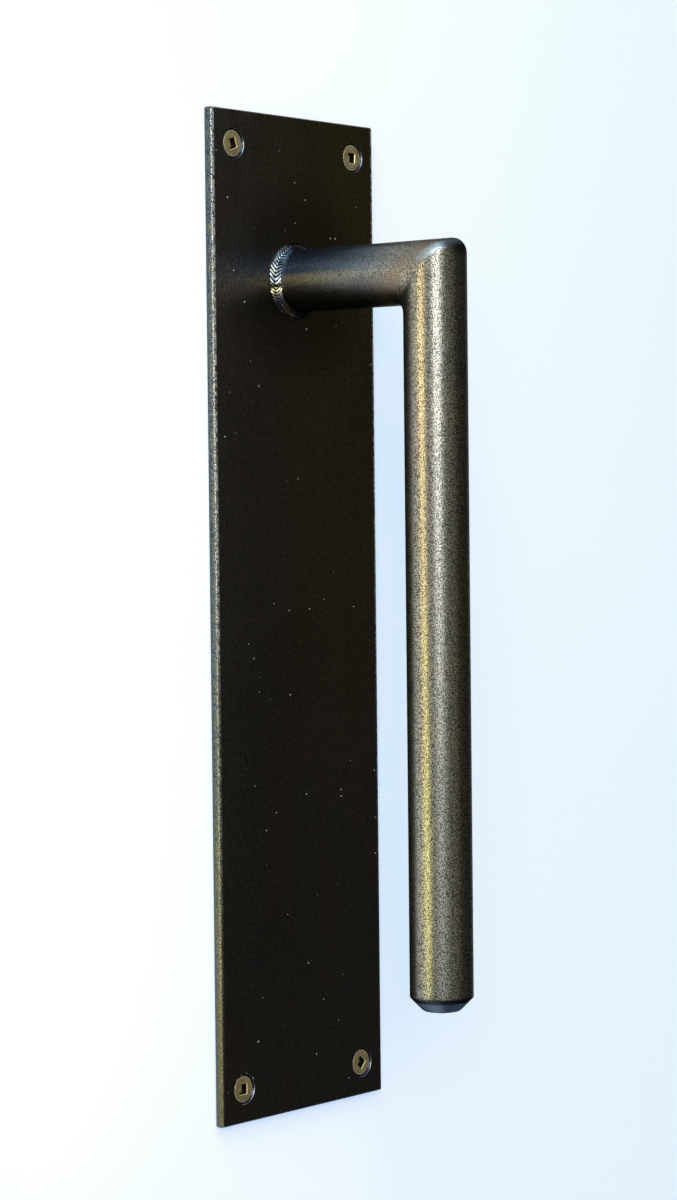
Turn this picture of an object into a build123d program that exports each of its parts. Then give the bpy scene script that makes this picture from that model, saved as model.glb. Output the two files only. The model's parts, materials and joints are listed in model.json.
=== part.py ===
from build123d import *
import math
import os

# Door pull: a round steel grip on a mitred arm, welded to a flat plate that is screwed to the door
# Sizes are millimetres and degrees
# The origin is the centre of the plate's back face, +X to the right, +Y into the door, +Z up

# Backing plate, cut from flat bar with rolled long edges
plate_height = 304.8
plate_width = 76.2
plate_thickness = 3.175
plate_rolled_radius = 0.8
plate_end_break = 0.3

# Round bar of the arm and the grip, its seam line turned away from the mitre's corners
bar_diameter = 19.05
bar_seam_turn = 35.0
projection = 63.5
grip_length = 228.6
arm_drop = 50.0
grip_end_chamfer = 4.0

# Weld in the mitre between the arm and the grip, ground flush with the bar
mitre_outer_radius = 3.5
mitre_inner_fill = 1.2
mitre_weld_width = 4.0
mitre_weld_depth = 3.0
mitre_flank = 8.0

# Fillet weld round the foot of the arm, laid as overlapping puddles
foot_weld_plate_leg = 2.7
foot_weld_arm_leg = 2.2
puddle_pitch = 2.1
puddle_diameter = 4.0
puddle_thickness = 1.2
puddle_bevel = 0.8
puddle_rim_drop = 0.25
puddle_lift = 0.3
puddle_tilt = 17.0

# Countersunk holes near the plate's corners
hole_side_inset = 10.16
hole_end_inset = 10.16
hole_diameter = 5.2
countersink_diameter = 9.2
countersink_angle = 82.0

# Flat-head wood screws with square sockets
screw_length = 31.75
screw_head_diameter = 7.96
screw_head_rim = 0.25
screw_neck_clearance = 0.15
screw_neck_overrun = 0.3
screw_shank_diameter = 4.2
screw_shank_length = 12.0
screw_core_diameter = 3.0
screw_point_length = 5.0
screw_seat_gap = 0.03
socket_width = 3.1
socket_depth = 2.3
socket_taper = 3.0
socket_turns = (30.0, 5.0, 2.0, 40.0)

# Places worked out from the sizes above
bar_radius = bar_diameter / 2
plate_face_y = -plate_thickness
arm_axis_z = plate_height / 2 - arm_drop
grip_axis_y = plate_face_y - projection + bar_radius
grip_end_z = arm_axis_z + bar_radius - grip_length
bar_overrun = 2 * bar_diameter

# The mitre plane holds the crossing of the two bar axes, and its normal leans to the arm's side
mitre_plane = Plane(origin=(0, grip_axis_y, arm_axis_z), x_dir=(1, 0, 0), z_dir=(0, 1, 1))
weld_arm_side = mitre_plane.offset(mitre_weld_width / 2)
weld_grip_side = mitre_plane.offset(-mitre_weld_width / 2)

# The plane across it parts the elbow's inner corner from its outer corner, on the inner corner's side
across_plane = Plane(origin=(0, grip_axis_y, arm_axis_z), x_dir=(1, 0, 0), z_dir=(0, 1, -1))

# The foot plane lies on the plate's face, with its centre on the arm's axis
foot_plane = Plane(origin=(0, plate_face_y, arm_axis_z), x_dir=(1, 0, 0), z_dir=(0, -1, 0))


def hole_points():
    """Centres of the holes in X and Z: upper left, upper right, lower left, lower right."""
    side = plate_width / 2 - hole_side_inset
    end = plate_height / 2 - hole_end_inset
    return [(-side, end), (side, end), (-side, -end), (side, -end)]


def countersink_slope():
    """How much the radius of a countersink shrinks for each millimetre of depth."""
    return math.tan(math.radians(countersink_angle / 2))


def back_plate():
    """The flat plate with rolled long edges, eased ends and a countersunk hole near each corner."""
    section = RectangleRounded(plate_width, plate_thickness, plate_rolled_radius)
    plate = Pos(0, plate_face_y / 2, 0) * extrude(section, plate_height / 2, both=True)
    plate = chamfer(plate.faces().filter_by(Axis.Z).edges(), plate_end_break)
    sink_depth = (countersink_diameter - hole_diameter) / 2 / countersink_slope()
    sink = Cone(
        countersink_diameter / 2,
        hole_diameter / 2,
        sink_depth,
        align=(Align.CENTER, Align.CENTER, Align.MIN),
    )
    bore = Cylinder(
        hole_diameter / 2,
        plate_thickness,
        align=(Align.CENTER, Align.CENTER, Align.MIN),
    )
    for x, z in hole_points():
        plate -= Plane(origin=(x, plate_face_y, z), z_dir=(0, 1, 0)) * (sink + bore)
    return plate


def rod(start, end, radius):
    """A round bar from one point to another."""
    path = Vector(*end) - Vector(*start)
    aside = Plane(origin=start, x_dir=(1, 0, 0), z_dir=path)
    return aside * Rot(0, 0, bar_seam_turn) * Cylinder(
        radius, path.length, align=(Align.CENTER, Align.CENTER, Align.MIN)
    )


def mitred_arm(radius):
    """The arm's bar from the plate's face to the mitre plane."""
    bar = rod((0, plate_face_y, arm_axis_z), (0, grip_axis_y - bar_overrun, arm_axis_z), radius)
    return split(bar, bisect_by=mitre_plane, keep=Keep.TOP)


def mitred_grip(radius):
    """The grip's bar from its lower end to the mitre plane."""
    bar = rod((0, grip_axis_y, grip_end_z), (0, grip_axis_y, arm_axis_z + bar_overrun), radius)
    return split(bar, bisect_by=mitre_plane, keep=Keep.BOTTOM)


def mitre_ridge(piece):
    """The edges of a piece that lie on the mitre plane, where the two bars meet."""
    ellipses = piece.edges().filter_by(GeomType.ELLIPSE)
    return [e for e in ellipses if abs(mitre_plane.to_local_coords(e @ 0.5).Z) < 0.001]


def ground_elbow():
    """Both bars as one form, with the mitre ground round outside and filled round inside."""
    elbow = mitred_arm(bar_radius) + mitred_grip(bar_radius)
    outer_cut = across_plane.offset(-mitre_flank / 2)
    inner_cut = across_plane.offset(mitre_flank / 2)
    outer = split(elbow, bisect_by=outer_cut, keep=Keep.BOTTOM)
    inner = split(elbow, bisect_by=inner_cut, keep=Keep.TOP)
    flank = split(split(elbow, bisect_by=outer_cut, keep=Keep.TOP), bisect_by=inner_cut, keep=Keep.BOTTOM)
    outer = fillet(mitre_ridge(outer), mitre_outer_radius)
    inner = chamfer(mitre_ridge(inner), mitre_inner_fill)
    return flank + outer + inner


def arm_core():
    """What is left of the arm inside the weld groove."""
    core = mitred_arm(bar_radius - mitre_weld_depth)
    return split(core, bisect_by=weld_arm_side, keep=Keep.BOTTOM)


def grip_core():
    """What is left of the grip inside the weld groove."""
    core = mitred_grip(bar_radius - mitre_weld_depth)
    return split(core, bisect_by=weld_grip_side, keep=Keep.TOP)


def standoff_arm(elbow):
    """The short bar that stands off the plate, grooved for the weld at its mitre."""
    return split(elbow, bisect_by=weld_arm_side, keep=Keep.TOP) + arm_core()


def grip_bar(elbow):
    """The long bar that the hand holds, grooved at its mitre and chamfered at its lower end."""
    bar = split(elbow, bisect_by=weld_grip_side, keep=Keep.BOTTOM) + grip_core()
    lower_end = bar.faces().sort_by(Axis.Z)[0]
    return chamfer(lower_end.edges(), grip_end_chamfer)


def mitre_weld(elbow):
    """The ring of weld metal round the mitre, its outside ground with the bars."""
    band = split(elbow, bisect_by=weld_arm_side, keep=Keep.BOTTOM)
    band = split(band, bisect_by=weld_grip_side, keep=Keep.TOP)
    return band - arm_core() - grip_core()


def puddle():
    """One frozen weld puddle: a bevelled disc on the slope of the weld, tipped back along its run."""
    slope = math.hypot(foot_weld_plate_leg, foot_weld_arm_leg)
    out_radial = foot_weld_arm_leg / slope
    out_axial = foot_weld_plate_leg / slope
    tilt = math.radians(puddle_tilt)
    puddle_radius = puddle_diameter / 2
    section = Polyline(
        (0, -puddle_thickness),
        (puddle_radius, -puddle_thickness),
        (puddle_radius, -puddle_rim_drop),
        (puddle_radius - puddle_bevel, 0),
        (0, 0),
        close=True,
    )
    disc = revolve(Plane.XZ * make_face(section), axis=Axis.Z)
    middle = Vector(bar_radius + foot_weld_plate_leg / 2, 0, foot_weld_arm_leg / 2)
    seat = Plane(
        origin=middle + Vector(out_radial, 0, out_axial) * puddle_lift,
        x_dir=(-out_axial, 0, out_radial),
        z_dir=(out_radial * math.cos(tilt), math.sin(tilt), out_axial * math.cos(tilt)),
    )
    return seat * disc


def foot_weld():
    """The ring of puddles on a bed of weld metal, fitted to the arm and to the plate's face."""
    run = 2 * math.pi * (bar_radius + foot_weld_plate_leg / 2)
    count = round(run / puddle_pitch)
    section = Polyline(
        (bar_radius, 0),
        (bar_radius + foot_weld_plate_leg, 0),
        (bar_radius, foot_weld_arm_leg),
        close=True,
    )
    bed = revolve(Plane.XZ * make_face(section), axis=Axis.Z)
    one = puddle()
    weld = bed + [Rot(0, 0, i * 360 / count) * one for i in range(count)]
    reach = bar_radius + foot_weld_plate_leg + puddle_diameter
    weld -= Cylinder(bar_radius, 2 * reach)
    weld -= Box(2 * reach, 2 * reach, reach, align=(Align.CENTER, Align.CENTER, Align.MAX))
    return foot_plane * weld


def screw(turn):
    """One screw along +Z, the middle of its head's face at the origin and its socket turned."""
    head_r = screw_head_diameter / 2
    neck_r = hole_diameter / 2 - screw_neck_clearance
    neck_end = plate_thickness - head_depth() + screw_neck_overrun
    shank_r = screw_shank_diameter / 2
    core_r = screw_core_diameter / 2
    outline = Polyline(
        (0, 0),
        (head_r, 0),
        (head_r, screw_head_rim),
        (neck_r, screw_head_rim + (head_r - neck_r) / countersink_slope()),
        (neck_r, neck_end),
        (shank_r, neck_end),
        (shank_r, screw_shank_length),
        (core_r, screw_shank_length),
        (core_r, screw_length - screw_point_length),
        (0, screw_length),
        close=True,
    )
    body = revolve(Plane.XZ * make_face(outline), axis=Axis.Z)
    socket = extrude(
        Rectangle(socket_width, socket_width, rotation=turn),
        socket_depth,
        taper=socket_taper,
    )
    return body - socket


def head_depth():
    """How far the face of a seated screw head lies under the plate's face."""
    cone_depth = (countersink_diameter - screw_head_diameter) / 2 / countersink_slope()
    return cone_depth - screw_head_rim - screw_seat_gap


def mounting_screws():
    """The four screws, as separate solids."""
    screws = []
    for (x, z), turn in zip(hole_points(), socket_turns):
        seat = Plane(origin=(x, plate_face_y + head_depth(), z), x_dir=(1, 0, 0), z_dir=(0, 1, 0))
        screws.append(seat * screw(turn))
    return Compound(children=screws)


os.makedirs("parts", exist_ok=True)
elbow = ground_elbow()
nodes = {
    "back_plate": back_plate(),
    "standoff_arm": standoff_arm(elbow),
    "grip_bar": grip_bar(elbow),
    "mitre_weld": mitre_weld(elbow),
    "foot_weld": foot_weld(),
    "mounting_screws": mounting_screws(),
}
for name, shape in nodes.items():
    export_step(shape, f"parts/{name}.step")
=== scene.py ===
import json
import math

import bmesh
import bpy
import numpy as np
from mathutils import Matrix, Vector


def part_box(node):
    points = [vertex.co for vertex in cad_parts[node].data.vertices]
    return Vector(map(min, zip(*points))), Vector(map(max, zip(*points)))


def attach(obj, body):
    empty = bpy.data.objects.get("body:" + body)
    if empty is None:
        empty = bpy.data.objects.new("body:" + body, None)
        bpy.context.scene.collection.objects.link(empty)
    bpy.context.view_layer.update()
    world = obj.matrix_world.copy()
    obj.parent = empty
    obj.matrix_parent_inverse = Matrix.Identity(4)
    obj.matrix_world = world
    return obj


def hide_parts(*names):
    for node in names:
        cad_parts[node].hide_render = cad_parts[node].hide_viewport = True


# A door pull on a pale wall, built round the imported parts. Lengths are metres, and MM is a millimetre
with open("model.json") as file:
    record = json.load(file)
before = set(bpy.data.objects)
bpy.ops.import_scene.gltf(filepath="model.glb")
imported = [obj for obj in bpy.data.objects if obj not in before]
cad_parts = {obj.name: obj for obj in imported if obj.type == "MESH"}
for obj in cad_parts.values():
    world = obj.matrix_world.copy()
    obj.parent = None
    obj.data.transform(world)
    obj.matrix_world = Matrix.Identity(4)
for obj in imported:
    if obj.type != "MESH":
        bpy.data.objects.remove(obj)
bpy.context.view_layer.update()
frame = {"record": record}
MM = 0.001

# Sizes read from the frame
plate_low, plate_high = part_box("back_plate")
grip_low, grip_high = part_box("grip_bar")
arm_low, arm_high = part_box("standoff_arm")
screw_end_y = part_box("mounting_screws")[1].y
studs = next(m for m in frame["record"]["mounts"] if m["name"] == "screw_shanks")["dims"]

BAR_R = (grip_high.x - grip_low.x) / 2
ARM_Z = (arm_low.z + arm_high.z) / 2
GRIP_Y = (grip_low.y + grip_high.y) / 2
GRIP_END_Z = grip_low.z
FACE_Y = plate_low.y
PLATE_W = plate_high.x - plate_low.x
PLATE_T = plate_high.y - plate_low.y
PLATE_H = plate_high.z - plate_low.z
SCREW_X = studs["spacing_x_mm"] / 2 * MM
SCREW_Z = studs["spacing_y_mm"] / 2 * MM

# Sizes that the frame doesn't state, as in the part's source
OUTER_R = 3.5 * MM
END_CHAMFER = 4.0 * MM
END_BREAK = 0.3 * MM
PLATE_LEG = 2.7 * MM
ARM_LEG = 2.2 * MM
HOLE_R = 2.6 * MM
SINK_R = 4.6 * MM
SINK_SLOPE = math.tan(math.radians(41))
SEAT_GAP = 0.03 * MM
HEAD_R = 3.98 * MM
RIM_H = 0.25 * MM
NECK_R = 2.45 * MM
NECK_OVERRUN = 0.3 * MM
SHANK_R = 2.1 * MM
CORE_R = 1.5 * MM
SHANK_LEN = 12.0 * MM
POINT_LEN = 5.0 * MM
SOCKET_HALF = 1.55 * MM
SOCKET_DEPTH = 2.3 * MM

# Sizes of the scene's finer forms, from close crops of the photograph
INNER_R = 3.6 * MM
BLEND_SPREAD = 1.17
HAND_WAVER = 0.12
BLEND_REACH = 17.0 * MM
ELBOW_REACH = 24.0 * MM
ROLLED_R = 1.1 * MM
CROWN = 0.12 * MM
WELD_RIPPLES = 60
WELD_STOP = math.radians(190)
WELD_LUMP = math.radians(197)
WELD_RESTART = math.radians(152)
HEAD_EASE = 0.28 * MM
THREAD_PITCH = 2.6 * MM
THREAD_CREST_R = SHANK_R + 0.1 * MM
THREAD_START = SHANK_LEN + 1.0 * MM
SOCKET_TURNS = {"upper_left": -20, "upper_right": 5, "lower_left": 2, "lower_right": 40}

# The grip's lower end in millimetres: height from the chamfer's upper edge, and distance in from the bar
GRIP_END_PROFILE = (
    (0.16, 0.02), (0.0, 0.09), (-0.16, 0.22), (-0.6, 0.62), (-1.4, 1.4), (-2.4, 2.4),
    (-3.3, 3.3), (-3.72, 3.72), (-3.9, 3.98), (-4.0, 4.25), (-4.0, 5.2), (-4.0, 7.0), (-4.0, 8.6),
)

# A screw's socket: the share of its half width, and the depth, from its eased mouth to the bottom
SOCKET_PROFILE = (
    (1.15, 0.0), (1.0, 0.22 * MM), (0.97, 0.5 * MM), (0.93, 1.4 * MM), (0.9, 2.0 * MM),
    (0.55, SOCKET_DEPTH), (0.02, SOCKET_DEPTH + 0.15 * MM),
)

# How finely the meshes are cut
BAR_AROUND = 128
ARM_RINGS = 29
ELBOW_RINGS = 60
GRIP_RINGS = 89
SCREW_AROUND = 64
RINGS_PER_THREAD = 18
HOLE_AROUND = 96

# The plate's paints, in the order of its mesh's slots
FACE_PAINT, EDGE_PAINT, SINK_PAINT = range(3)


def mesh_piece(name, vertices, faces, smooth=True):
    """A new mesh object at the origin, its place in its vertices."""
    mesh = bpy.data.meshes.new(name)
    mesh.from_pydata([tuple(v) for v in vertices], [], faces)
    mesh.validate()
    mesh.update()
    mesh.polygons.foreach_set("use_smooth", [smooth] * len(mesh.polygons))
    piece = bpy.data.objects.new(name, mesh)
    bpy.context.scene.collection.objects.link(piece)
    return piece


def grid_faces(rings, around):
    """Quads between neighbouring rings of points."""
    faces = []
    for i in range(rings - 1):
        for j in range(around):
            k = (j + 1) % around
            faces.append((i * around + j, i * around + k, (i + 1) * around + k, (i + 1) * around + j))
    return faces


def smooth_noise(points, scale, seed):
    """A gentle pattern of waves from -1 to 1 at each point, the same on each run."""
    waves = np.random.default_rng(seed)
    total = np.zeros(len(points))
    for _ in range(6):
        direction = waves.normal(size=3)
        direction *= scale / np.linalg.norm(direction) * waves.uniform(0.6, 1.4)
        total += np.sin(points @ direction + waves.uniform(0, 2 * math.pi))
    return total / 6


# The elbow's surface


def elbow_distance(p):
    """About how far each point lies outside the two bars as grinding left them, negative inside."""
    x, y, z = p[:, 0], p[:, 1] - GRIP_Y, p[:, 2] - ARM_Z
    arm = np.hypot(x, z) - BAR_R
    grip = np.hypot(x, y) - BAR_R
    outward = (z - y) / math.sqrt(2)
    crease = np.clip(outward / (math.sqrt(2) * BAR_R), -1, 1) ** 2
    waver = 1 + HAND_WAVER * smooth_noise(p, 700, 3)
    gap = np.abs(arm - grip)
    tiny = 1e-6
    outer_k = BLEND_SPREAD * OUTER_R * crease * waver + tiny
    inner_k = BLEND_SPREAD * INNER_R * crease * waver + tiny
    outer = np.maximum(arm, grip) + np.clip(1 - gap / outer_k, 0, 1) ** 2 * outer_k / 4
    inner = np.minimum(arm, grip) - np.clip(1 - gap / inner_k, 0, 1) ** 2 * inner_k / 4
    return np.where(outward > 0, outer, inner)


def elbow_gradient(p):
    """The direction straight out of the elbow at each point."""
    step = 2e-6
    out = np.zeros_like(p)
    for axis in range(3):
        shift = np.zeros(3)
        shift[axis] = step
        out[:, axis] = (elbow_distance(p + shift) - elbow_distance(p - shift)) / (2 * step)
    return out / np.maximum(np.linalg.norm(out, axis=1, keepdims=True), 1e-9)


def on_elbow(p):
    """The points moved straight onto the elbow's surface."""
    for _ in range(6):
        p = p - elbow_gradient(p) * elbow_distance(p)[:, None]
    return p


def bar_circle():
    """The angles round a bar, and the two coordinates of its circle."""
    angle = np.linspace(0, 2 * math.pi, BAR_AROUND, endpoint=False)
    return angle, BAR_R * np.cos(angle), BAR_R * np.sin(angle)


def arm_mesh_rings():
    """Rings from the plate to the mitre plane."""
    _, x, up = bar_circle()
    blend = GRIP_Y + BLEND_REACH
    rings = []
    for y in np.linspace(FACE_Y, blend, ARM_RINGS + 1)[:-1]:
        rings.append(np.stack([x, np.full(BAR_AROUND, y), ARM_Z + up], axis=1))
    for share in np.linspace(0, 1, ELBOW_RINGS):
        y = blend * (1 - share) + (GRIP_Y - up) * share
        rings.append(on_elbow(np.stack([x, y, ARM_Z + up], axis=1)))
    return rings


def grip_mesh_rings():
    """Rings from the mitre plane to the chamfer at the grip's lower end."""
    angle, x, up = bar_circle()
    blend = ARM_Z - BLEND_REACH
    rings = []
    for share in np.linspace(1, 0, ELBOW_RINGS):
        z = blend * (1 - share) + (ARM_Z + up) * share
        rings.append(on_elbow(np.stack([x, GRIP_Y - up, z], axis=1)))
    top_of_chamfer = GRIP_END_Z + END_CHAMFER
    grip_stop = top_of_chamfer + 0.4 * MM
    for z in np.linspace(blend, grip_stop, GRIP_RINGS + 1)[1:]:
        rings.append(np.stack([x, GRIP_Y - up, np.full(BAR_AROUND, z)], axis=1))
    waver = 1 + 0.05 * np.sin(3 * angle + 0.6) + 0.03 * np.sin(5 * angle + 2)
    for height, shrink in GRIP_END_PROFILE:
        shift = np.where(shrink < 4, height * waver, height)
        ratio = (BAR_R - shrink * MM) / BAR_R
        z = np.maximum(top_of_chamfer + shift * MM, GRIP_END_Z)
        rings.append(np.stack([x * ratio, GRIP_Y - up * ratio, z], axis=1))
    return rings


def bar_piece(name, rings, cap_last=False):
    """A bar's mesh from its rings, with the normals of the elbow where it blends."""
    around = len(rings[0])
    points = np.concatenate(rings)
    faces = grid_faces(len(rings), around)
    if cap_last:
        centre = rings[-1].mean(axis=0)
        points = np.vstack([points, centre])
        base = (len(rings) - 1) * around
        faces += [(base + j, base + (j + 1) % around, len(points) - 1) for j in range(around)]
    piece = mesh_piece(name, points, faces)
    near = np.hypot(points[:, 1] - GRIP_Y, points[:, 2] - ARM_Z) < ELBOW_REACH
    normals = np.array([v.normal for v in piece.data.vertices])
    normals[near] = elbow_gradient(points[near])
    piece.data.normals_split_custom_set_from_vertices([tuple(n) for n in normals])
    return piece


def make_bars():
    """The arm, the weld band in the mitre and the grip."""
    arm_rings = arm_mesh_rings()
    grip_rings = grip_mesh_rings()
    band_from, band_to = 50, 10
    arm = bar_piece("arm", arm_rings[: ARM_RINGS + band_from])
    grip = bar_piece("grip", grip_rings[band_to - 1 :], cap_last=True)
    band_rings = arm_rings[ARM_RINGS + band_from - 1 :] + grip_rings[1:band_to]
    band = bar_piece("mitre_weld_band", band_rings)
    for piece, cad_node in ((arm, "standoff_arm"), (grip, "grip_bar"), (band, "mitre_weld")):
        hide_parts(cad_node)
        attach(piece, "root")
    return arm, grip, band


# The foot weld


def make_foot_weld():
    """The rippled bead round the arm's foot: overlapping crescents, uneven as hand work is."""
    along, across = 1100, 32
    sunk_in_arm, sunk_in_plate = 0.05 * MM, 0.03 * MM
    # The angle round the arm, and the share of the way from the plate to the arm
    round_arm = np.linspace(0, 2 * math.pi, along, endpoint=False)
    angle, share = np.meshgrid(round_arm, np.linspace(0, 1, across), indexing="ij")
    pace = angle + 0.03 * np.sin(3 * angle + 1) + 0.014 * np.sin(7 * angle) + 0.006 * np.sin(17 * angle)
    lead = -1.2 * (1 - np.abs(2 * share - 1) ** 1.2)
    beat = WELD_RIPPLES * pace / (2 * math.pi) + lead
    saw = beat - np.floor(beat)
    ripple = np.where(saw < 0.8, saw / 0.8, (1 - saw) / 0.2)
    ripple = ripple * ripple * (3 - 2 * ripple)
    stop = np.exp(-(((angle - WELD_STOP) / 0.05) ** 2))
    lump = np.exp(-(((angle - WELD_LUMP) / 0.13) ** 4))
    fade = np.exp(-np.clip((angle - WELD_RESTART - math.radians(3)) / 0.5, 0, 9))
    restart = np.clip((angle - WELD_RESTART) / 0.05, 0, 1) * fade
    size = 0.84 - 0.3 * stop + 0.12 * lump + 0.16 * restart
    plate_sway = 0.06 * np.sin(2 * angle + 0.4) + 0.05 * np.sin(5 * angle)
    arm_sway = 0.07 * np.sin(2 * angle + 2.2) + 0.06 * np.sin(6 * angle + 1)
    leg_p = PLATE_LEG * size * (1 + plate_sway + 0.07 * (ripple - 0.5))
    leg_a = ARM_LEG * size * (1 + arm_sway + 0.08 * (ripple - 0.5))
    bulge = 0.4 + 0.05 * np.sin(4 * angle + 0.7)
    turn = share * math.pi / 2
    out = leg_p * ((1 - share) * (1 - bulge) + np.cos(turn) * bulge)
    up = leg_a * (share * (1 - bulge) + np.sin(turn) * bulge)
    height = (0.42 * ripple - 0.2) * MM * np.sin(math.pi * share) ** 0.7
    slope = math.hypot(PLATE_LEG, ARM_LEG)
    radius = BAR_R - sunk_in_arm + np.maximum(out + height * ARM_LEG / slope, 0)
    rise = np.maximum(up + height * PLATE_LEG / slope, 0) - sunk_in_plate
    points = np.stack([radius * np.cos(angle), FACE_Y - rise, ARM_Z + radius * np.sin(angle)], axis=-1)
    faces = []
    for i in range(along):
        k = (i + 1) % along
        for j in range(across - 1):
            faces.append((i * across + j, i * across + j + 1, k * across + j + 1, k * across + j))
    bead = mesh_piece("foot_weld_bead", points.reshape(-1, 3), faces)
    # Sooty scale on the bead's top, and sooty scale with painted shade on its underside.
    top = np.exp(-(((angle - math.radians(82)) / 0.6) ** 10))
    low = np.exp(-(((angle - math.radians(256)) / 0.95) ** 14))
    # The ripple mark dips at the bead's stop, where the painted shade fills the gap.
    marks = {"ripple": ripple * (1 - 0.8 * stop), "soot_and_shade": np.maximum(top, low), "gold": lump}
    for title, values in marks.items():
        made = bead.data.attributes.new(title, "FLOAT", "POINT")
        made.data.foreach_set("value", values.reshape(-1).astype(np.float32))
    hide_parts("foot_weld")
    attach(bead, "root")
    return bead


# The screws


def square_radius(half, angle):
    """How far a square with slightly rounded corners reaches at each angle."""
    c, s = np.abs(np.cos(angle)), np.abs(np.sin(angle))
    power = 14
    return half / (c ** power + s ** power) ** (1 / power)


def head_depth():
    """How far a seated head's face lies under the plate's face."""
    return (SINK_R - HEAD_R) / SINK_SLOPE - RIM_H - SEAT_GAP


def screw_rings(turn):
    """Rings of one screw along +Z, from its point to the bottom of its socket."""
    around = SCREW_AROUND
    angle = np.linspace(0, 2 * math.pi, around, endpoint=False)
    neck_top = RIM_H + (HEAD_R - NECK_R) / SINK_SLOPE
    depth = head_depth()
    length = screw_end_y - FACE_Y - depth
    neck_end = PLATE_T - depth + NECK_OVERRUN
    steps = int((length - THREAD_START) / THREAD_PITCH * RINGS_PER_THREAD)
    rings = []
    for z in np.linspace(length, THREAD_START, steps):
        to_point = np.clip((length - z) / POINT_LEN, 0.02, 1)
        core = CORE_R * to_point ** 0.8
        fade = np.clip((z - THREAD_START) / (1.5 * MM), 0, 1) * np.clip(to_point * 1.3, 0, 1)
        phase = z / THREAD_PITCH - angle / (2 * math.pi)
        wave = np.abs(2 * (phase - np.floor(phase)) - 1)
        ridge = np.clip((wave - 0.62) / 0.3, 0, 1)
        radius = core + (THREAD_CREST_R * to_point ** 0.5 - core) * ridge * fade
        rings.append((radius, angle, np.full(around, z)))
    for z, radius in (
        (SHANK_LEN + 0.9 * MM, CORE_R),
        (SHANK_LEN + 0.2 * MM, SHANK_R - 0.05 * MM),
        (SHANK_LEN, SHANK_R),
        (neck_end + 0.05 * MM, SHANK_R),
        (neck_end - 0.6 * MM, NECK_R),
        (neck_top + 0.1 * MM, NECK_R),
        (neck_top, NECK_R),
        (RIM_H, HEAD_R),
        (RIM_H * 0.5, HEAD_R),
        (0.08 * MM, HEAD_R - 0.02 * MM),
        (0.02 * MM, HEAD_R - 0.1 * MM),
        (0.0, HEAD_R - HEAD_EASE),
    ):
        rings.append((np.full(around, radius), angle, np.full(around, z)))
    socket_radius = square_radius(SOCKET_HALF, angle)
    for share in (0.25, 0.5, 0.75):
        radius = (HEAD_R - HEAD_EASE) * (1 - share) + socket_radius * 1.16 * share
        rings.append((radius, angle, np.full(around, 0.0)))
    for scale, z in SOCKET_PROFILE:
        rings.append((socket_radius * scale, angle, np.full(around, z)))
    lead = math.radians(turn)
    return [np.stack([r * np.cos(a + lead), r * np.sin(a + lead), z], axis=1) for r, a, z in rings]


def make_screws():
    """Four screws with square sockets and cut threads."""
    pieces = []
    for name, turn in SOCKET_TURNS.items():
        rings = screw_rings(turn)
        around = len(rings[0])
        points = np.concatenate(rings)
        x = SCREW_X * (1 if "right" in name else -1)
        z = SCREW_Z * (1 if "upper" in name else -1)
        y = FACE_Y + head_depth()
        placed = np.stack([x + points[:, 0], y + points[:, 2], z - points[:, 1]], axis=1)
        faces = grid_faces(len(rings), around)
        piece = mesh_piece(f"screw_{name}", placed, faces)
        piece.data.shade_smooth()
        set_sharp(piece, 35)
        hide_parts("mounting_screws")
        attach(piece, "root")
        pieces.append(piece)
    return pieces


def set_sharp(piece, degrees):
    """Marks edges over an angle as sharp, so that only curved faces shade smooth."""
    bm = bmesh.new()
    bm.from_mesh(piece.data)
    for edge in bm.edges:
        if len(edge.link_faces) == 2 and edge.calc_face_angle(0) > math.radians(degrees):
            edge.smooth = False
    bm.to_mesh(piece.data)
    bm.free()


# Materials


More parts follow.
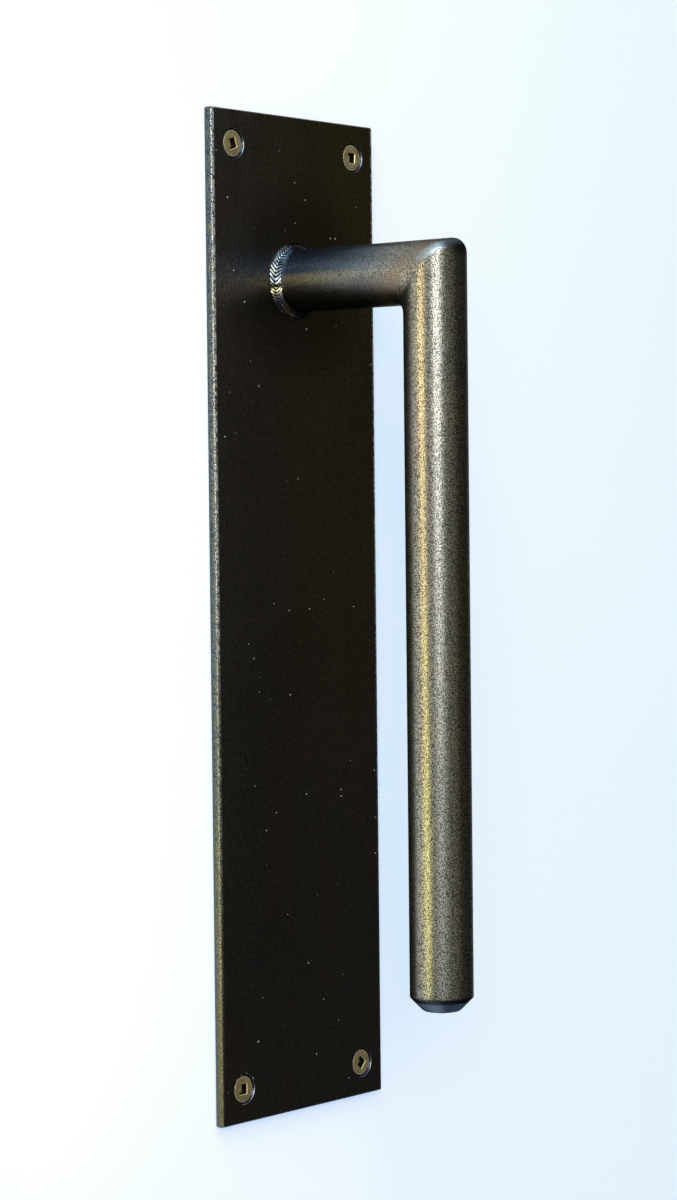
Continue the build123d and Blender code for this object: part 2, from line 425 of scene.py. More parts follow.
class Paint:
    """A procedural material, built node by node."""

    def __init__(self, name):
        self.material = bpy.data.materials.new(name)
        self.material.use_nodes = True
        self.tree = self.material.node_tree
        self.tree.nodes.clear()
        self.place = self.add("ShaderNodeTexCoord").outputs["Object"]

    def add(self, kind, **settings):
        """A new node. Settings name its properties."""
        made = self.tree.nodes.new(kind)
        for name, value in settings.items():
            setattr(made, name, value)
        return made

    def feed(self, socket, value):
        """Links a socket, or sets it."""
        if isinstance(value, bpy.types.NodeSocket):
            self.tree.links.new(value, socket)
        else:
            socket.default_value = value

    def math(self, operation, a, b=0.0):
        """One sum on two values."""
        made = self.add("ShaderNodeMath", operation=operation)
        self.feed(made.inputs[0], a)
        self.feed(made.inputs[1], b)
        return made.outputs[0]

    def times(self, first, *others):
        """The product of all the values."""
        product = first
        for other in others:
            product = self.math("MULTIPLY", product, other)
        return product

    def reach(self, across, above):
        """The distance that two offsets make."""
        squares = self.math("ADD", self.times(across, across), self.times(above, above))
        return self.math("SQRT", squares)

    def noise(self, scale, detail=3.0, rough=0.5, vector=None):
        """A cloudy pattern about 0.5."""
        made = self.add("ShaderNodeTexNoise")
        self.feed(made.inputs["Vector"], self.place if vector is None else vector)
        self.feed(made.inputs["Scale"], scale)
        self.feed(made.inputs["Detail"], detail)
        self.feed(made.inputs["Roughness"], rough)
        return made.outputs["Fac"]

    def stretch(self, x, y, z):
        """The place coordinates scaled by axis."""
        made = self.add("ShaderNodeMapping")
        self.feed(made.inputs["Vector"], self.place)
        made.inputs["Scale"].default_value = (x, y, z)
        return made.outputs[0]

    def ramp(self, value, start, stop):
        """0 up to the start and 1 past the stop. Either may be the greater."""
        return self.span(value, start, stop, 0.0, 1.0)

    def span(self, value, start, stop, first, last):
        """The value carried from one range to another, and kept within it."""
        made = self.add("ShaderNodeMapRange")
        self.feed(made.inputs["Value"], value)
        self.feed(made.inputs["From Min"], start)
        self.feed(made.inputs["From Max"], stop)
        self.feed(made.inputs["To Min"], first)
        self.feed(made.inputs["To Max"], last)
        return made.outputs[0]

    def mix(self, share, a, b):
        """A colour between a and b."""
        made = self.add("ShaderNodeMix", data_type="RGBA")
        self.feed(made.inputs[0], share)
        self.feed(made.inputs[6], a if isinstance(a, bpy.types.NodeSocket) else (*a, 1))
        self.feed(made.inputs[7], b if isinstance(b, bpy.types.NodeSocket) else (*b, 1))
        return made.outputs[2]

    def axes(self):
        """The three place coordinates."""
        made = self.add("ShaderNodeSeparateXYZ")
        self.feed(made.inputs[0], self.place)
        return made.outputs

    def bump(self, height, distance, under=None):
        """A relief of this height in metres."""
        made = self.add("ShaderNodeBump")
        self.feed(made.inputs["Height"], height)
        self.feed(made.inputs["Distance"], distance)
        self.feed(made.inputs["Strength"], 1.0)
        if under is not None:
            self.feed(made.inputs["Normal"], under)
        return made.outputs[0]

    def mark(self, title):
        """A value stored on the mesh's points."""
        return self.add("ShaderNodeAttribute", attribute_name=title).outputs["Fac"]

    def screw_radius(self):
        """The distance from the nearest screw's axis."""
        x, _, z = self.axes()
        across = self.math("SUBTRACT", self.math("ABSOLUTE", x), SCREW_X)
        above = self.math("SUBTRACT", self.math("ABSOLUTE", z), SCREW_Z)
        return self.reach(across, above)

    def specks(self, scale, rarity, radius):
        """Small scattered dots on the plate's plane: the higher the rarity, the fewer."""
        x, _, z = self.axes()
        flat = self.add("ShaderNodeCombineXYZ")
        self.feed(flat.inputs[0], x)
        self.feed(flat.inputs[1], z)
        dots = self.add("ShaderNodeTexVoronoi", voronoi_dimensions="2D")
        self.feed(dots.inputs["Vector"], flat.outputs[0])
        self.feed(dots.inputs["Scale"], scale)
        parts = self.add("ShaderNodeSeparateColor")
        self.feed(parts.inputs[0], dots.outputs["Color"])
        chosen = self.math("GREATER_THAN", parts.outputs[0], rarity)
        size = self.times(parts.outputs[1], radius)
        return self.times(chosen, self.math("LESS_THAN", dots.outputs["Distance"], size))

    def near_hole(self, radius):
        """1 close to the axis of the lower left hole, on its upper side."""
        x, _, z = self.axes()
        above = self.math("ADD", z, SCREW_Z)
        inside = self.math("LESS_THAN", self.reach(self.math("ADD", x, SCREW_X), above), radius)
        return self.times(inside, self.math("GREATER_THAN", above, 0.4 * radius))

    def surface(self, **inputs):
        """The shader, with its inputs by name."""
        shader = self.add("ShaderNodeBsdfPrincipled")
        for name, value in inputs.items():
            self.feed(shader.inputs[name.replace("_", " ")], value)
        out = self.add("ShaderNodeOutputMaterial")
        self.feed(out.inputs["Surface"], shader.outputs[0])


def bar_paint():
    """Blackened round bar, rubbed back and waxed: a fine even grain, brushed round the arm and darker there
    with painted shade below, with a painted reflection and a painted highlight band on the arm and a
    painted highlight along the mitre seam.
    """
    p = Paint("bar_steel")
    _, y, z = p.axes()
    stain = p.noise(220, 4, 0.6)
    grain = p.noise(2900, 0.0)
    brush = p.noise(1.0, 3, 0.6, p.stretch(160, 2600, 160))
    on_arm = p.ramp(y, GRIP_Y + 0.7 * BAR_R, GRIP_Y + 2.2 * BAR_R)
    far_in = p.ramp(y, GRIP_Y + 1.2 * BAR_R, GRIP_Y + 4.5 * BAR_R)
    height = p.math("DIVIDE", p.math("SUBTRACT", z, ARM_Z), BAR_R)
    tone = p.mix(p.ramp(p.noise(60, 4), 0.35, 0.65), (0.215, 0.215, 0.2), (0.265, 0.255, 0.225))
    tone = arm_tint_and_painted_light(p, tone, y, height, on_arm, far_in)
    tone = p.mix(p.times(p.ramp(stain, 0.56, 0.72), 0.5), tone, (0.10, 0.09, 0.08))
    tone = grain_tones(p, tone, grain, on_arm)
    shade = p.times(on_arm, p.ramp(height, 0.08, -0.15), p.math("SUBTRACT", 1.0, far_in))
    tone = p.mix(p.times(shade, 0.75), tone, (0.075, 0.09, 0.11))
    tone = elbow_tones(p, tone, y, z, height, stain)
    tone = end_tones(p, tone, z)
    brushed = p.math("ADD", p.times(brush, 1.6), p.times(grain, 0.6))
    relief = p.add("ShaderNodeMix", data_type="FLOAT")
    p.feed(relief.inputs[0], on_arm)
    p.feed(relief.inputs[2], grain)
    p.feed(relief.inputs[3], brushed)
    normal = p.bump(relief.outputs[0], 0.000036)
    rough = p.span(stain, 0.3, 0.7, 0.27, 0.32)
    grazing = (0.25, 0.25, 0.25, 1)
    p.surface(Base_Color=tone, Metallic=1.0, Roughness=rough, Normal=normal, Specular_Tint=grazing)
    return p.material


def arm_tint_and_painted_light(p, tone, y, height, on_arm, far_in):
    """The arm: a bluish tint, a painted blue reflection above, a painted highlight as a tan band along its
    middle, and painted shade nearly black below.
    """
    tone = p.mix(p.times(on_arm, 0.85), tone, (0.205, 0.217, 0.24))
    # Painted reflection: the arm's upper half blue, brighter towards the top, strongest near the plate and
    # greyer towards the elbow.
    blue = p.mix(p.ramp(height, 0.3, 0.9), (0.072, 0.112, 0.185), (0.15, 0.23, 0.36))
    blue = p.mix(far_in, (0.195, 0.225, 0.26), blue)
    tone = p.mix(p.times(on_arm, p.ramp(height, -0.02, 0.2)), tone, blue)
    # Painted highlight: a tan band along the middle of the arm, near the plate.
    band = p.times(p.ramp(height, -0.28, -0.1), p.ramp(height, 0.2, 0.0))
    tone = p.mix(p.times(far_in, band), tone, (0.36, 0.35, 0.27))
    # Painted shade: the arm's underside nearly black.
    under = p.ramp(y, GRIP_Y + 0.55 * BAR_R, GRIP_Y + 1.1 * BAR_R)
    under = p.times(under, p.ramp(height, -0.2, -0.5))
    return p.mix(p.times(under, 0.88), tone, (0.03, 0.028, 0.028))


def grain_tones(p, tone, grain, on_arm):
    """Dark pits and bright lands between them, weaker on the arm."""
    pits = p.times(p.ramp(grain, 0.5, 0.36), p.span(on_arm, 0.0, 1.0, 0.8, 0.45))
    tone = p.mix(pits, tone, (0.034, 0.032, 0.031))
    lands = p.times(p.ramp(grain, 0.5, 0.66), p.span(on_arm, 0.0, 1.0, 0.55, 0.18))
    return p.mix(lands, tone, (0.53, 0.53, 0.5))


def elbow_tones(p, tone, y, z, height, stain):
    """The elbow: brown from heat by the arm, bright along the seam from grinding and a painted highlight,
    dark at its outer corner.
    """
    from_grip = p.math("SUBTRACT", y, GRIP_Y)
    from_arm = p.math("SUBTRACT", z, ARM_Z)
    seam = p.math("ADD", from_grip, from_arm)
    heat = p.times(p.ramp(seam, 1.0 * MM, 4.0 * MM), p.ramp(seam, 16.0 * MM, 8.0 * MM))
    heat = p.times(heat, p.ramp(stain, 0.3, 0.55), 0.55)
    tone = p.mix(heat, tone, (0.235, 0.17, 0.135))
    # Ground metal with a painted highlight: a pale blue patch on the arm's side of the seam, on the bar's
    # upper half only.
    ground_and_highlight = p.times(p.ramp(seam, 5.0 * MM, 1.5 * MM), p.ramp(seam, -0.4 * MM, 0.2 * MM))
    ground_and_highlight = p.times(ground_and_highlight, p.ramp(height, 0.2, 0.6), p.ramp(height, 0.93, 0.8))
    tone = p.mix(p.times(ground_and_highlight, 0.75), tone, (0.5, 0.6, 0.68))
    corner = p.ramp(p.math("SUBTRACT", from_arm, from_grip), 1.35 * BAR_R, 1.62 * BAR_R)
    return p.mix(p.times(corner, 0.75), tone, (0.055, 0.065, 0.075))


def end_tones(p, tone, z):
    """The grip's lower end: a blue sawn chamfer under a dark burr."""
    end = GRIP_END_Z + END_CHAMFER
    tone = p.mix(p.ramp(z, end + 0.1 * MM, end - 0.3 * MM), tone, (0.14, 0.17, 0.22))
    burr = p.times(p.ramp(z, end + 0.8 * MM, end + 0.2 * MM), p.ramp(z, end - 1.5 * MM, end - 0.8 * MM))
    return p.mix(p.times(burr, 0.85), tone, (0.03, 0.03, 0.032))


def plate_paint():
    """Mill scale on the plate's faces: nearly black, oiled, with faint clouds, chips, specks of dust, and a
    rubbed strip by the long edges that carries a painted highlight.
    """
    p = Paint("plate_steel")
    x, _, z = p.axes()
    cloud = p.noise(16, 4, 0.55)
    streak = p.noise(1.0, 3, 0.6, p.stretch(60, 60, 9))
    fine = p.noise(900, 3, 0.65)
    up = p.ramp(z, -0.1, 0.12)
    rightward = p.math("ADD", x, p.times(cloud, 0.05))
    warm = p.times(up, p.ramp(rightward, 0.0, 0.05))
    tone = p.mix(up, (0.098, 0.096, 0.1), (0.13, 0.117, 0.098))
    cool = p.times(p.ramp(z, 0.06, 0.13), p.ramp(x, 0.015, -0.02))
    tone = p.mix(p.times(cool, 0.6), tone, (0.21, 0.2, 0.195))
    tone = p.mix(warm, tone, (0.15, 0.12, 0.05))
    tone = p.mix(p.times(p.ramp(streak, 0.5, 0.66), 0.45), tone, (0.125, 0.085, 0.05))
    tone = p.mix(p.times(p.ramp(cloud, 0.5, 0.7), 0.35), tone, (0.055, 0.052, 0.055))
    tone = p.mix(p.times(p.ramp(fine, 0.48, 0.66), 0.65), tone, (0.04, 0.036, 0.034))
    light_spots = p.mix(up, (0.19, 0.17, 0.16), (0.25, 0.2, 0.155))
    tone = p.mix(p.times(p.ramp(fine, 0.44, 0.34), 0.7), tone, light_spots)
    from_arm = p.reach(x, p.math("SUBTRACT", z, ARM_Z))
    tone = p.mix(p.times(p.ramp(from_arm, 36 * MM, 20 * MM), 0.45), tone, (0.025, 0.022, 0.02))
    specks_wear_and_highlight = p.math("MAXIMUM", p.specks(420, 0.976, 0.13), p.specks(170, 0.972, 0.045))
    chips = p.times(p.near_hole(SINK_R + 0.55 * MM), p.ramp(p.noise(900, 2), 0.6, 0.64))
    specks_wear_and_highlight = p.math("MAXIMUM", specks_wear_and_highlight, chips)
    # Rubbed to bright metal beside the rolled edges, with a painted highlight: full on the upper part,
    # fading out towards the bottom.
    flat_end = PLATE_W / 2 - ROLLED_R
    worn_and_highlight = p.ramp(p.math("ABSOLUTE", x), flat_end - 0.5 * MM, flat_end - 0.2 * MM)
    worn_and_highlight = p.times(worn_and_highlight, p.ramp(z, -0.15, 0.03), p.ramp(fine, 0.4, 0.56))
    specks_wear_and_highlight = p.math("MAXIMUM", specks_wear_and_highlight, p.times(worn_and_highlight, 0.85))
    tone = p.mix(specks_wear_and_highlight, tone, (0.62, 0.63, 0.62))
    metal = p.math("SUBTRACT", 1.0, p.times(specks_wear_and_highlight, 0.7))
    rough = p.span(fine, 0.3, 0.7, 0.33, 0.44)
    normal = p.bump(fine, 0.00002, under=p.bump(p.noise(45, 2), 0.0002))
    p.surface(Base_Color=tone, Metallic=metal, Roughness=rough, Normal=normal)
    return p.material


def edge_paint():
    """The rolled edges: rubbed to bright metal in front with a painted highlight on the upper part, a
    painted blue reflection at the back, a painted warm reflection low down, and dark at the ends.
    """
    p = Paint("plate_edge")
    _, y, z = p.axes()
    mottle = p.noise(2400, 1, 0.5)
    blotch = p.noise(300, 3, 0.6)
    tone = p.mix(p.ramp(mottle, 0.42, 0.6), (0.028, 0.037, 0.05), (0.16, 0.19, 0.23))
    tone = p.mix(p.times(p.ramp(blotch, 0.5, 0.7), 0.5), tone, (0.2, 0.19, 0.12))
    # Painted reflection: the back of the edges dark blue.
    back = p.ramp(y, FACE_Y + 0.3 * PLATE_T, FACE_Y + 0.85 * PLATE_T)
    tone = p.mix(p.times(back, 0.85), tone, (0.06, 0.1, 0.13))
    # Painted reflection of warm light low down: olive patches on the edges, and a brighter gold towards the
    # front.
    low = p.times(p.ramp(z, -0.03, -0.13), p.ramp(mottle, 0.56, 0.46))
    tone = p.mix(p.times(low, 0.7), tone, (0.15, 0.135, 0.055))
    painted_warm_reflection = p.times(p.ramp(z, -0.03, -0.13), p.ramp(y, FACE_Y + 1.7 * MM, FACE_Y + 0.6 * MM))
    tone = p.mix(p.times(painted_warm_reflection, p.ramp(mottle, 0.46, 0.58)), tone, (0.27, 0.235, 0.11))
    # Rubbed to bright metal in front, with a painted highlight: full on the upper part, fading out towards
    # the bottom.
    front = p.times(p.ramp(y, FACE_Y + 0.5 * MM, FACE_Y + 0.25 * MM), p.ramp(mottle, 0.4, 0.55))
    tone = p.mix(p.times(front, p.ramp(z, -0.15, 0.03)), tone, (0.5, 0.5, 0.45))
    half_height = PLATE_H / 2
    ends = p.ramp(p.math("ABSOLUTE", z), half_height - 1.5 * END_BREAK, half_height - END_BREAK)
    tone = p.mix(p.times(ends, 0.9), tone, (0.02, 0.024, 0.03))
    normal = p.bump(mottle, 0.00012)
    rough = p.span(blotch, 0.3, 0.7, 0.3, 0.45)
    p.surface(Base_Color=tone, Metallic=1.0, Roughness=rough, Normal=normal)
    return p.material


def sink_paint():
    """Turned steel in the countersinks, made dark with dirt and painted shade, with a bright rim."""
    p = Paint("countersink_steel")
    fine = p.noise(1500, 2, 0.5)
    # Dirt and painted shade: the countersinks dark all round.
    tone = p.mix(p.ramp(fine, 0.4, 0.65), (0.02, 0.02, 0.022), (0.07, 0.075, 0.085))
    rim = p.ramp(p.screw_radius(), SINK_R - 0.13 * MM, SINK_R - 0.05 * MM)
    tone = p.mix(p.times(rim, 0.9), tone, (0.32, 0.33, 0.35))
    grazing = (0.15, 0.15, 0.16, 1)
    normal = p.bump(fine, 0.00005)
    p.surface(Base_Color=tone, Metallic=1.0, Roughness=0.3, Normal=normal, Specular_Tint=grazing)
    return p.material


def weld_paint():
    """Weld metal: brushed silver blue, straw at its stop, sooty scale with painted shade above and below,
    and painted shade in the troughs of its ripples.
    """
    p = Paint("weld_metal")
    cloud = p.noise(260, 3)
    fine = p.noise(1600, 2)
    ripple, soot_and_shade, gold = (p.mark(title) for title in ("ripple", "soot_and_shade", "gold"))
    tone = p.mix(p.ramp(cloud, 0.42, 0.58), (0.74, 0.8, 0.85), (0.3, 0.36, 0.4))
    tone = p.mix(gold, tone, (0.74, 0.65, 0.34))
    # Painted shade: dark in the troughs between the ripples and in the gap at the bead's stop.
    tone = p.mix(p.ramp(ripple, 0.5, 0.1), tone, (0.02, 0.024, 0.03))
    # Sooty scale with painted shade above and below, glints left in it.
    dark = p.times(soot_and_shade, p.span(fine, 0.6, 0.7, 0.995, 0.9))
    scale = p.mix(p.ramp(cloud, 0.4, 0.6), (0.01, 0.012, 0.016), (0.032, 0.024, 0.018))
    tone = p.mix(dark, tone, scale)
    rough = p.math("ADD", p.span(fine, 0.3, 0.7, 0.16, 0.28), p.times(soot_and_shade, 0.25))
    grazing = (0.2, 0.2, 0.2, 1)
    normal = p.bump(fine, 0.00003)
    p.surface(Base_Color=tone, Metallic=1.0, Roughness=rough, Normal=normal, Specular_Tint=grazing)
    return p.material


def screw_paint():
    """Dull bronze plating with a bright rubbed rim that carries a painted highlight, and dark inside the
    socket with dirt and painted shade.
    """
    p = Paint("screw_steel")
    y = p.axes()[1]
    cloud = p.noise(500, 3)
    fine = p.noise(2600, 2)
    tone = p.mix(p.ramp(cloud, 0.4, 0.65), (0.38, 0.28, 0.12), (0.5, 0.4, 0.2))
    tone = p.mix(p.ramp(fine, 0.55, 0.75), tone, (0.24, 0.17, 0.07))
    face = FACE_Y + head_depth()
    # A bright rim round the head's face: rubbed metal with a painted highlight.
    outer = p.ramp(p.screw_radius(), HEAD_R - 0.35 * MM, HEAD_R - 0.15 * MM)
    rim = p.times(outer, p.ramp(y, face + 0.3 * MM, face + 0.15 * MM))
    tone = p.mix(p.times(rim, 0.8), tone, (0.75, 0.7, 0.55))
    mouth = p.ramp(y, face + 0.02 * MM, face + 0.05 * MM)
    mouth = p.times(mouth, p.ramp(y, face + 0.26 * MM, face + 0.2 * MM))
    within = p.math("LESS_THAN", p.screw_radius(), 2.6 * MM)
    tone = p.mix(p.times(mouth, within, 0.75), tone, (0.8, 0.66, 0.38))
    before_shank = p.ramp(y, face + 2.9 * MM, face + 2.7 * MM)
    # Dirt and painted shade: the socket's walls dark between its bright mouth and its floor.
    sunk = p.times(p.ramp(y, face + 0.2 * MM, face + 0.3 * MM), before_shank)
    floor = p.times(p.ramp(y, face + 2.0 * MM, face + 2.15 * MM), before_shank)
    tone = p.mix(p.times(sunk, 0.93), tone, (0.02, 0.017, 0.014))
    tone = p.mix(floor, tone, (0.7, 0.62, 0.42))
    metal = p.span(sunk, 0.0, 1.0, 0.5, 1.0)
    rough = p.span(fine, 0.3, 0.7, 0.3, 0.42)
    p.surface(Base_Color=tone, Metallic=metal, Roughness=rough, Normal=p.bump(fine, 0.00004))
    return p.material


# The plate


def plate_profile():
    """The flat bar's section: rolled long edges, a little crowned between them."""
    steps = 8
    half = PLATE_W / 2
    left = []
    for i in range(steps + 1):
        angle = math.pi / 2 * i / steps
        inward = CROWN + (1 - math.sin(angle)) * (ROLLED_R - CROWN)
        left.append((-half + inward, FACE_Y + ROLLED_R * (1 - math.cos(angle))))
    for i in range(1, 6):
        share = i / 6
        y = FACE_Y + ROLLED_R + (PLATE_T - 2 * ROLLED_R) * share
        left.append((-half + CROWN * (2 * share - 1) ** 2, y))
    left += [(x, 2 * FACE_Y + PLATE_T - y) for x, y in reversed(left[: steps + 1])]
    return left + [(-x, y) for x, y in reversed(left)]


def make_plate():
    """The plate with its rolled edges, eased ends and turned countersinks."""
    half_w, half_h, middle = PLATE_W / 2, PLATE_H / 2, FACE_Y + PLATE_T / 2
    profile = plate_profile()
    points = []
    lower = ((-half_h, END_BREAK), (-half_h + END_BREAK, 0))
    upper = ((half_h - END_BREAK, 0), (half_h, END_BREAK))
    for z, ease in lower + upper:
        for x, y in profile:
            points.append((x * (1 - ease / half_w), middle + (y - middle) * (1 - 2 * ease / PLATE_T), z))
    around = len(profile)
    faces = grid_faces(4, around)
    faces.append(tuple(range(around)))
    faces.append(tuple(reversed(range(3 * around, 4 * around))))
    piece = mesh_piece("plate", points, faces, smooth=False)
    face_outward(piece)
    for paint in (plate_paint, edge_paint, sink_paint):
        piece.data.materials.append(paint())
    nearly_flat = 0.94
    for polygon in piece.data.polygons:
        polygon.material_index = FACE_PAINT if abs(polygon.normal.y) > nearly_flat else EDGE_PAINT
    places = [(sx * SCREW_X, sz * SCREW_Z) for sx in (-1, 1) for sz in (-1, 1)]
    cutters = [countersink(x, z, piece.data.materials) for x, z in places]
    for cutter in cutters:
        cut = piece.modifiers.new("hole", "BOOLEAN")
        cut.operation = "DIFFERENCE"
        cut.solver = "EXACT"
        cut.object = cutter
    graph = bpy.context.evaluated_depsgraph_get()
    done = bpy.data.meshes.new_from_object(piece.evaluated_get(graph))
    piece.modifiers.clear()
    piece.data = done
    for cutter in cutters:
        bpy.data.objects.remove(cutter)
    piece.data.shade_smooth()
    set_sharp(piece, 28)
    weighted = piece.modifiers.new("flat faces stay flat", "WEIGHTED_NORMAL")
    weighted.keep_sharp = True
    weighted.weight = 100
    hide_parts("back_plate")
    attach(piece, "root")


def face_outward(piece):
    """Turns every face to look outward."""
    bm = bmesh.new()
    bm.from_mesh(piece.data)
    bmesh.ops.recalc_face_normals(bm, faces=bm.faces)
    bm.to_mesh(piece.data)
    bm.free()


def countersink(x, z, paints):
    """The cutter of one hole."""
    around = HOLE_AROUND
    angle = np.linspace(0, 2 * math.pi, around, endpoint=False)
    over = 0.5 * MM
    depth = (SINK_R - HOLE_R) / SINK_SLOPE
    rings = []
    for y, radius in (
        (FACE_Y - over, SINK_R + over * SINK_SLOPE),
        (FACE_Y + depth, HOLE_R),
        (FACE_Y + PLATE_T + over, HOLE_R),
    ):
        ring = [x + radius * np.cos(angle), np.full(around, y), z + radius * np.sin(angle)]
        rings.append(np.stack(ring, axis=1))
    faces = grid_faces(3, around)
    faces.append(tuple(reversed(range(around))))
    faces.append(tuple(range(2 * around, 3 * around)))
    cutter = mesh_piece("cutter", np.concatenate(rings), faces, smooth=False)
    face_outward(cutter)
    for paint in paints:
        cutter.data.materials.append(paint)
    for polygon in cutter.data.polygons:
        polygon.material_index = SINK_PAINT
    return cutter


# The stage, the camera and the lights


def wall_paint():
    """Pale wall: white on the left, a little blue to the right and in the shadow, and clear from behind."""
    p = Paint("wall_white")
    x, _, z = p.axes()
    path = p.add("ShaderNodeLightPath")
    geometry = p.add("ShaderNodeNewGeometry")
    side = p.math("ADD", p.math("ADD", x, p.times(z, -0.12)), p.times(p.noise(7, 3), 0.05))
    fall = p.ramp(side, 0.05, 0.17)
    matt = p.add("ShaderNodeBsdfDiffuse")
    p.feed(matt.inputs["Color"], p.mix(fall, (0.92, 0.62, 0.06), (0.92, 0.66, 0.06)))
    glow = p.add("ShaderNodeEmission")
    p.feed(glow.inputs["Color"], p.mix(fall, (0.35, 0.575, 0.95), (0.325, 0.545, 0.945)))
    seen = p.math("MAXIMUM", path.outputs["Is Camera Ray"], path.outputs["Is Glossy Ray"])
    p.feed(glow.inputs["Strength"], p.math("MAXIMUM", seen, path.outputs["Is Transmission Ray"]))
    both = p.add("ShaderNodeAddShader")
    p.feed(both.inputs[0], matt.outputs[0])
    p.feed(both.inputs[1], glow.outputs[0])
    clear = p.add("ShaderNodeBsdfTransparent")
    pick = p.add("ShaderNodeMixShader")
    hidden = p.times(geometry.outputs["Backfacing"], path.outputs["Is Camera Ray"])
    p.feed(pick.inputs[0], hidden)
    p.feed(pick.inputs[1], both.outputs[0])
    p.feed(pick.inputs[2], clear.outputs[0])
    out = p.add("ShaderNodeOutputMaterial")
    p.feed(out.inputs["Surface"], pick.outputs[0])
    return p.material


def make_wall():
    """The wall that the plate is screwed to, open where the plate covers it."""
    reach = 3.0
    inset = 2 * MM
    y = plate_high.y + 0.2 * MM
    w, h = PLATE_W / 2 - inset, PLATE_H / 2 - inset
    outer = [(-reach, y, -reach), (reach, y, -reach), (reach, y, reach), (-reach, y, reach)]
    inner = [(-w, y, -h), (w, y, -h), (w, y, h), (-w, y, h)]
    faces = [(i, (i + 1) % 4, 4 + (i + 1) % 4, 4 + i) for i in range(4)]
    wall = mesh_piece("wall", outer + inner, faces, smooth=False)
    wall.data.materials.append(wall_paint())


def look(azimuth, elevation):
    """The unit vector from the object towards a viewer at these angles."""
    a, e = math.radians(azimuth), math.radians(elevation)
    return Vector((math.sin(a) * math.cos(e), -math.cos(a) * math.cos(e), math.sin(e)))


def make_camera():
    """The photograph's view, fitted to the plate's corners and the grip's ends."""
    photo_height_px = 1200
    focal_px = 3077
    distance = 0.965
    target = Vector((22.55 * MM, 0, 3.97 * MM))
    back = look(-50.19, 1.82)
    roll = math.radians(-0.61)
    forward = -back
    right = forward.cross(Vector((0, 0, 1))).normalized()
    up = right.cross(forward)
    right_rolled = right * math.cos(roll) + up * math.sin(roll)
    up_rolled = up * math.cos(roll) - right * math.sin(roll)
    data = bpy.data.cameras.new("camera")
    data.sensor_width = 36
    data.lens = focal_px * data.sensor_width / photo_height_px
    data.clip_start, data.clip_end = 0.01, 50
    camera = bpy.data.objects.new("camera", data)
    bpy.context.scene.collection.objects.link(camera)
    place = Matrix((right_rolled, up_rolled, back)).transposed().to_4x4()
    place.translation = target + back * distance
    camera.matrix_world = place
    bpy.context.scene.camera = camera


def panel(name, size, watts, colour, place, axes):
    """A soft lamp that shines against its third axis and isn't seen itself."""
    data = bpy.data.lights.new(name, "AREA")
    data.shape = "RECTANGLE"
    data.size, data.size_y = size
    data.energy = watts
    data.color = colour
    light = bpy.data.objects.new(name, data)
    bpy.context.scene.collection.objects.link(light)
    light.location = place
    light.rotation_mode = "QUATERNION"
    light.rotation_quaternion = axes
    light.visible_camera = False


def area_light(name, azimuth, elevation, distance, size, watts, colour):
    """A wide panel that faces the object from afar."""
    aim = Vector((0, -0.04, 0.0))
    away = look(azimuth, elevation)
    panel(name, size, watts, colour, aim + away * distance, away.to_track_quat("Z", "Y"))


def strip_light(name, place, width, lean, watts, colour):
    """A narrow warm lamp that stands by the wall, left of the view."""
    aim = Vector((0, GRIP_Y, -0.0125))
    height = 0.14
    place = Vector(place)
    lean = Vector((0, lean, 1)).normalized()
    back = (place - aim).normalized()
    side = lean.cross(back).normalized()
    axes = Matrix((side, back.cross(side), back)).transposed()
    panel(name, (width, height), watts, colour, place, axes.to_quaternion())


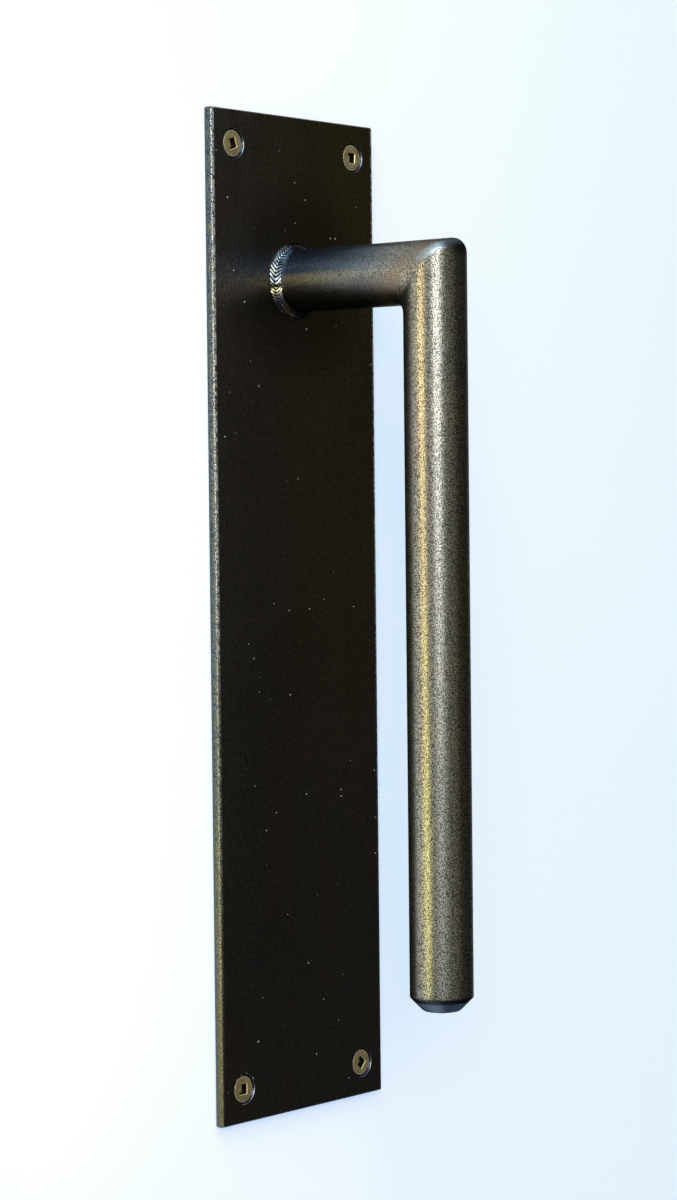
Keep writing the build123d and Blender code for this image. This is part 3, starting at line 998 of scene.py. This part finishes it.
def make_world():
    """White behind the object, and round it a room: bright by the camera and above, dark at the right."""
    world = bpy.data.worlds.new("room")
    world.use_nodes = True
    tree = world.node_tree
    tree.nodes.clear()
    place = tree.nodes.new("ShaderNodeTexCoord").outputs["Generated"]

    def toward(direction, low, high):
        """0 away from a direction and 1 near it."""
        dot = tree.nodes.new("ShaderNodeVectorMath")
        dot.operation = "DOT_PRODUCT"
        tree.links.new(place, dot.inputs[0])
        dot.inputs[1].default_value = direction
        span = tree.nodes.new("ShaderNodeMapRange")
        span.interpolation_type = "SMOOTHSTEP"
        tree.links.new(dot.outputs["Value"], span.inputs["Value"])
        span.inputs["From Min"].default_value = low
        span.inputs["From Max"].default_value = high
        return span.outputs[0]

    def blend(share, a, b):
        """A colour between a and b."""
        mix = tree.nodes.new("ShaderNodeMix")
        mix.data_type = "RGBA"
        tree.links.new(share, mix.inputs[0])
        for socket, colour in ((mix.inputs[6], a), (mix.inputs[7], b)):
            if isinstance(colour, bpy.types.NodeSocket):
                tree.links.new(colour, socket)
            else:
                socket.default_value = (*colour, 1)
        return mix.outputs[2]

    room = blend(toward(tuple(look(-50, 20)), 0.4, 0.97), (0.061, 0.053, 0.038), (0.55, 0.58, 0.55))
    room = blend(toward(tuple(look(0, -4)), 0.91, 0.96), room, (0.27, 0.26, 0.18))
    room = blend(toward((0, 0, 1), 0.25, 0.95), room, (0.42, 0.52, 0.66))
    room = blend(toward((0, 0, -1), 0.3, 0.9), room, (0.10, 0.12, 0.15))
    room = blend(toward((0, 1, 0), 0.0, 0.4), room, (0.6, 0.6, 0.6))
    path = tree.nodes.new("ShaderNodeLightPath")
    white = tree.nodes.new("ShaderNodeBackground")
    white.inputs[0].default_value = (0.95, 0.98, 1.0, 1)
    dim = tree.nodes.new("ShaderNodeBackground")
    tree.links.new(room, dim.inputs[0])
    mix = tree.nodes.new("ShaderNodeMixShader")
    out = tree.nodes.new("ShaderNodeOutputWorld")
    tree.links.new(path.outputs["Is Camera Ray"], mix.inputs[0])
    tree.links.new(dim.outputs[0], mix.inputs[1])
    tree.links.new(white.outputs[0], mix.inputs[2])
    tree.links.new(mix.outputs[0], out.inputs["Surface"])
    bpy.context.scene.world = world


def make_lights():
    """Four wide panels, two narrow warm strips at the left, and a dim room."""
    area_light("key", -48, 14, 1.6, (0.68, 0.72), 9.4, (1.0, 0.98, 0.93))
    area_light("skylight", -62, 46, 1.2, (0.9, 0.5), 8, (0.66, 0.84, 1.0))
    area_light("right_fill", 100, 38, 1.5, (0.6, 0.6), 5, (1.0, 0.98, 0.95))
    area_light("back_panel", 150, 25, 1.2, (0.5, 0.8), 6, (1.0, 1.0, 1.0))
    gold, olive = (1.0, 0.73, 0.27), (0.92, 0.82, 0.14)
    strip_light("gold_strip", (-0.17, -0.0155, 0.056), 0.036, 0.0, 0.084, gold)
    strip_light("olive_strip", (-0.17, -0.0275, -0.07), 0.056, 0.12, 0.07, olive)
    make_world()


make_camera()
make_wall()
make_lights()
bpy.context.scene.view_settings.view_transform = "Standard"
steel = bar_paint()
for piece in make_bars():
    piece.data.materials.append(steel)
make_foot_weld().data.materials.append(weld_paint())
bronze = screw_paint()
for piece in make_screws():
    piece.data.materials.append(bronze)
make_plate()
